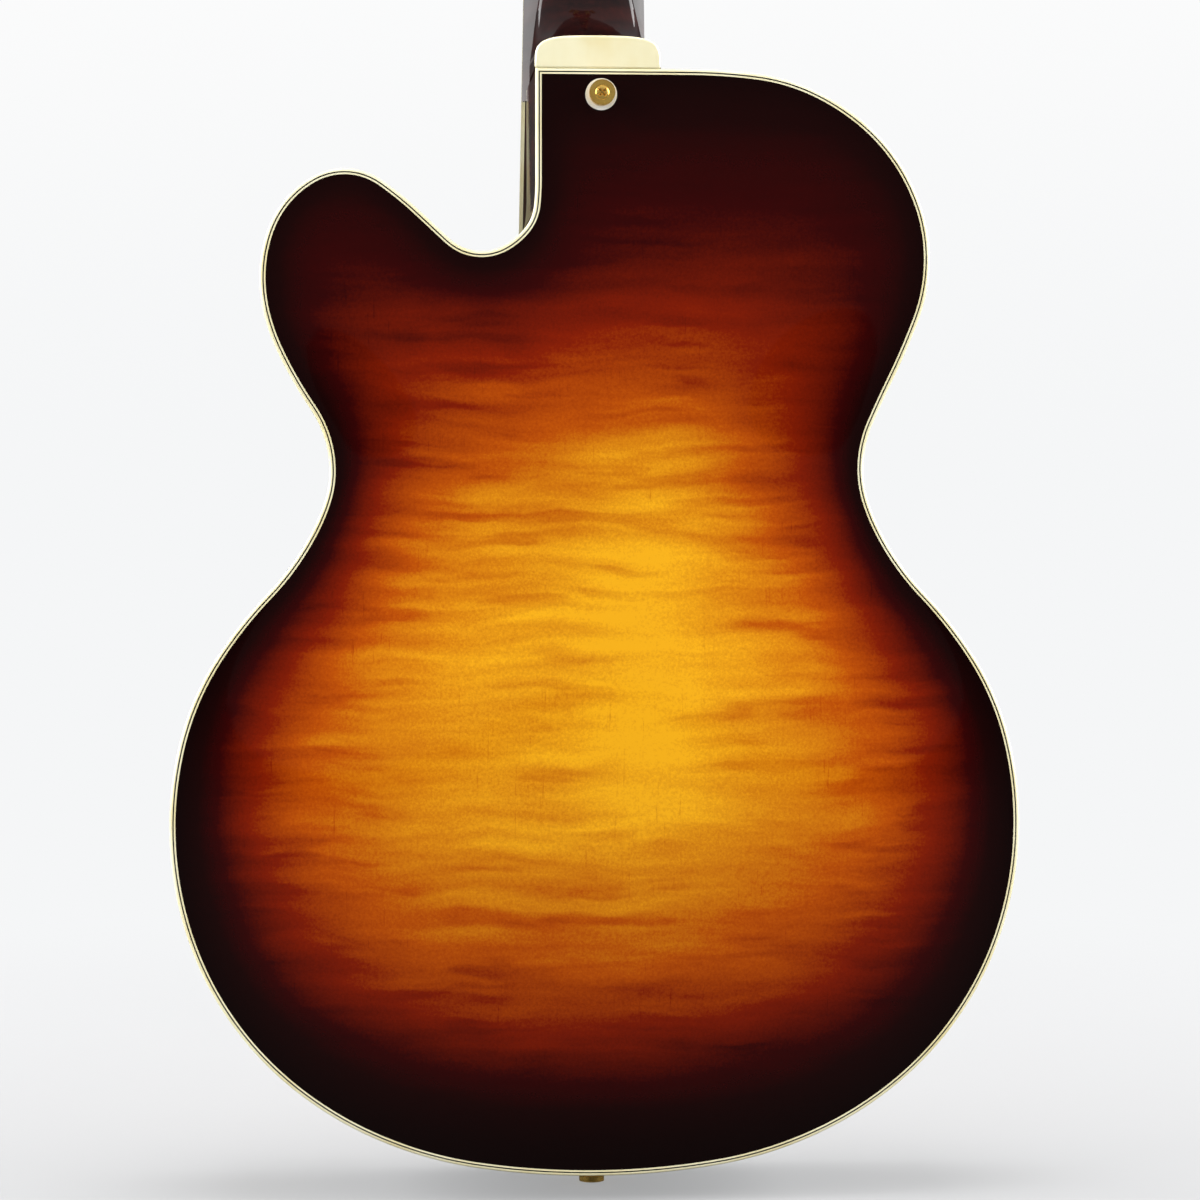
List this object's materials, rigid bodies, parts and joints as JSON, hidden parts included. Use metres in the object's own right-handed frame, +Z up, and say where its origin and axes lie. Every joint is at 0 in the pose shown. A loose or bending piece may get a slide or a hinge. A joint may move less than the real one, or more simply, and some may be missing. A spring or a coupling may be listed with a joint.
{
  "type": "archtop guitar",
  "caption": "Hollow single-cutaway archtop guitar with arched sunburst plates, cream binding, neck pickup, trapeze tailpiece, height-adjustable bridge and geared tuners.",
  "frame": {"origin": "the middle of the end pin's head, on the body's centre line and half way through the rim's depth", "axes": "+Z runs up the neck, -Y faces out of the front where the strings are, +Y out of the back, and +X is the treble side, where the cutaway is"},
  "size_m": [0.371, 0.141, 1.0349],
  "materials": {
    "figured_maple": "gloss brown sunburst lacquer over figured maple",
    "top_wood": "gloss brown sunburst lacquer",
    "rim_wood": "gloss dark brown lacquer",
    "bare_wood": "bare wood inside the body",
    "cream_celluloid": "cream binding, polished",
    "neck_wood": "gloss dark brown lacquer",
    "black_veneer": "gloss black",
    "fretboard_wood": "oiled dark hardwood",
    "pearloid": "pearly inlay",
    "nickel_silver": "polished fret wire",
    "nut_white": "bone white",
    "plain_steel": "plain steel",
    "black_plastic": "gloss black",
    "gold_plate": "gold plate, polished",
    "string_steel": "plain steel wire",
    "string_wrap": "wound wire",
    "bridge_wood": "oiled dark hardwood",
    "pickup_cover": "gold plate, polished",
    "knob_gold": "gold-backed clear plastic",
    "pale_nylon": "pale washer"
  },
  "bodies": {
    "guitar": {"back_binding": "cream_celluloid", "back_plate": "figured_maple", "bass_rim": "rim_wood", "bridge_base": "bridge_wood", "bridge_posts": "gold_plate", "cutaway_rim": "rim_wood", "fretboard": "fretboard_wood", "fretboard_binding": "cream_celluloid", "frets": "nickel_silver", "headstock_veneer": "black_veneer", "heel_cap": "cream_celluloid", "linings": "bare_wood", "neck": "neck_wood", "neck_block": "bare_wood", "neck_pickup": "pickup_cover", "nut": "nut_white", "output_jack": "gold_plate", "pickguard": "black_plastic", "pickguard_posts": "gold_plate", "pickup_ring": "black_plastic", "plain_strings": "string_steel", "position_markers": "pearloid", "potentiometers": "plain_steel", "strap_buttons": "gold_plate", "strap_screws": "gold_plate", "strap_washers": "pale_nylon", "tail_block": "bare_wood", "tailpiece_bracket": "gold_plate", "tailpiece_frame": "gold_plate", "tailpiece_hinge_pin": "gold_plate", "tone_bars": "bare_wood", "top_binding": "cream_celluloid", "top_plate": "top_wood", "treble_rim": "rim_wood", "truss_rod": "plain_steel", "truss_rod_cover": "black_plastic", "tuner_housings": "gold_plate", "wound_strings": "string_wrap"},
    "saddle": {"bridge_saddle": "bridge_wood"},
    "treble_wheel": {"thumbwheel_treble": "gold_plate"},
    "bass_wheel": {"thumbwheel_bass": "gold_plate"},
    "volume_control": {"volume_knob": "knob_gold", "volume_shaft": "plain_steel"},
    "tone_control": {"tone_knob": "knob_gold", "tone_shaft": "plain_steel"},
    "string_post_1": {"tuner_post_1": "gold_plate"},
    "tuning_key_1": {"tuner_button_1": "gold_plate"},
    "string_post_2": {"tuner_post_2": "gold_plate"},
    "tuning_key_2": {"tuner_button_2": "gold_plate"},
    "string_post_3": {"tuner_post_3": "gold_plate"},
    "tuning_key_3": {"tuner_button_3": "gold_plate"},
    "string_post_4": {"tuner_post_4": "gold_plate"},
    "tuning_key_4": {"tuner_button_4": "gold_plate"},
    "string_post_5": {"tuner_post_5": "gold_plate"},
    "tuning_key_5": {"tuner_button_5": "gold_plate"},
    "string_post_6": {"tuner_post_6": "gold_plate"},
    "tuning_key_6": {"tuner_button_6": "gold_plate"}
  },
  "joints": [
    {"name": "tuning_key_1_turn", "type": "hinge", "parent": "guitar", "child": "tuning_key_1", "pos_m": [0.023, -0.00273, 0.91117], "axis": [1, 0, 0], "continuous": true},
    {"name": "string_post_1_turn", "type": "hinge", "parent": "guitar", "child": "string_post_1", "pos_m": [0.023, -0.02279, 0.91033], "axis": [0, 0.9588, -0.284], "continuous": true},
    {"name": "tuning_key_2_turn", "type": "hinge", "parent": "guitar", "child": "tuning_key_2", "pos_m": [0.023, 0.00864, 0.94952], "axis": [1, 0, 0], "continuous": true},
    {"name": "string_post_2_turn", "type": "hinge", "parent": "guitar", "child": "string_post_2", "pos_m": [0.023, -0.01143, 0.94868], "axis": [0, 0.9588, -0.284], "continuous": true},
    {"name": "tuning_key_3_turn", "type": "hinge", "parent": "guitar", "child": "tuning_key_3", "pos_m": [0.023, 0.01999, 0.98787], "axis": [1, 0, 0], "continuous": true},
    {"name": "string_post_3_turn", "type": "hinge", "parent": "guitar", "child": "string_post_3", "pos_m": [0.023, -0.00007, 0.98704], "axis": [0, 0.9588, -0.284], "continuous": true},
    {"name": "tuning_key_4_turn", "type": "hinge", "parent": "guitar", "child": "tuning_key_4", "pos_m": [-0.023, 0.01999, 0.98787], "axis": [1, 0, 0], "continuous": true},
    {"name": "string_post_4_turn", "type": "hinge", "parent": "guitar", "child": "string_post_4", "pos_m": [-0.023, -0.00007, 0.98704], "axis": [0, 0.9588, -0.284], "continuous": true},
    {"name": "tuning_key_5_turn", "type": "hinge", "parent": "guitar", "child": "tuning_key_5", "pos_m": [-0.023, 0.00864, 0.94952], "axis": [1, 0, 0], "continuous": true},
    {"name": "string_post_5_turn", "type": "hinge", "parent": "guitar", "child": "string_post_5", "pos_m": [-0.023, -0.01143, 0.94868], "axis": [0, 0.9588, -0.284], "continuous": true},
    {"name": "tuning_key_6_turn", "type": "hinge", "parent": "guitar", "child": "tuning_key_6", "pos_m": [-0.023, -0.00273, 0.91117], "axis": [1, 0, 0], "continuous": true},
    {"name": "string_post_6_turn", "type": "hinge", "parent": "guitar", "child": "string_post_6", "pos_m": [-0.023, -0.02279, 0.91033], "axis": [0, 0.9588, -0.284], "continuous": true},
    {"name": "saddle_lift", "type": "slide", "parent": "guitar", "child": "saddle", "axis": [0, -1, 0], "range_m": [-0.0012, 0.0012], "deforming": ["plain_strings", "wound_strings"]},
    {"name": "treble_wheel_turn", "type": "hinge", "parent": "saddle", "child": "treble_wheel", "pos_m": [0.037, -0.06, 0.24244], "axis": [0, -1, 0], "range_deg": [-540, 540]},
    {"name": "bass_wheel_turn", "type": "hinge", "parent": "saddle", "child": "bass_wheel", "pos_m": [-0.037, -0.06, 0.24244], "axis": [0, -1, 0], "range_deg": [-540, 540]},
    {"name": "volume_control_turn", "type": "hinge", "parent": "guitar", "child": "volume_control", "pos_m": [0.11204, -0.06, 0.14898], "axis": [0, -1, 0], "range_deg": [-150, 150]},
    {"name": "tone_control_turn", "type": "hinge", "parent": "guitar", "child": "tone_control", "pos_m": [0.13004, -0.06, 0.10705], "axis": [0, -1, 0], "range_deg": [-150, 150]}
  ],
  "couplings": [
    {"joint": "string_post_1_turn", "follows": "tuning_key_1_turn", "ratio": 0.071429},
    {"joint": "string_post_2_turn", "follows": "tuning_key_2_turn", "ratio": 0.071429},
    {"joint": "string_post_3_turn", "follows": "tuning_key_3_turn", "ratio": 0.071429},
    {"joint": "string_post_4_turn", "follows": "tuning_key_4_turn", "ratio": -0.071429},
    {"joint": "string_post_5_turn", "follows": "tuning_key_5_turn", "ratio": -0.071429},
    {"joint": "string_post_6_turn", "follows": "tuning_key_6_turn", "ratio": -0.071429},
    {"joint": "saddle_lift", "follows": "treble_wheel_turn", "m_per_rad": 0.00012732},
    {"joint": "bass_wheel_turn", "follows": "treble_wheel_turn", "ratio": 1}
  ]
}
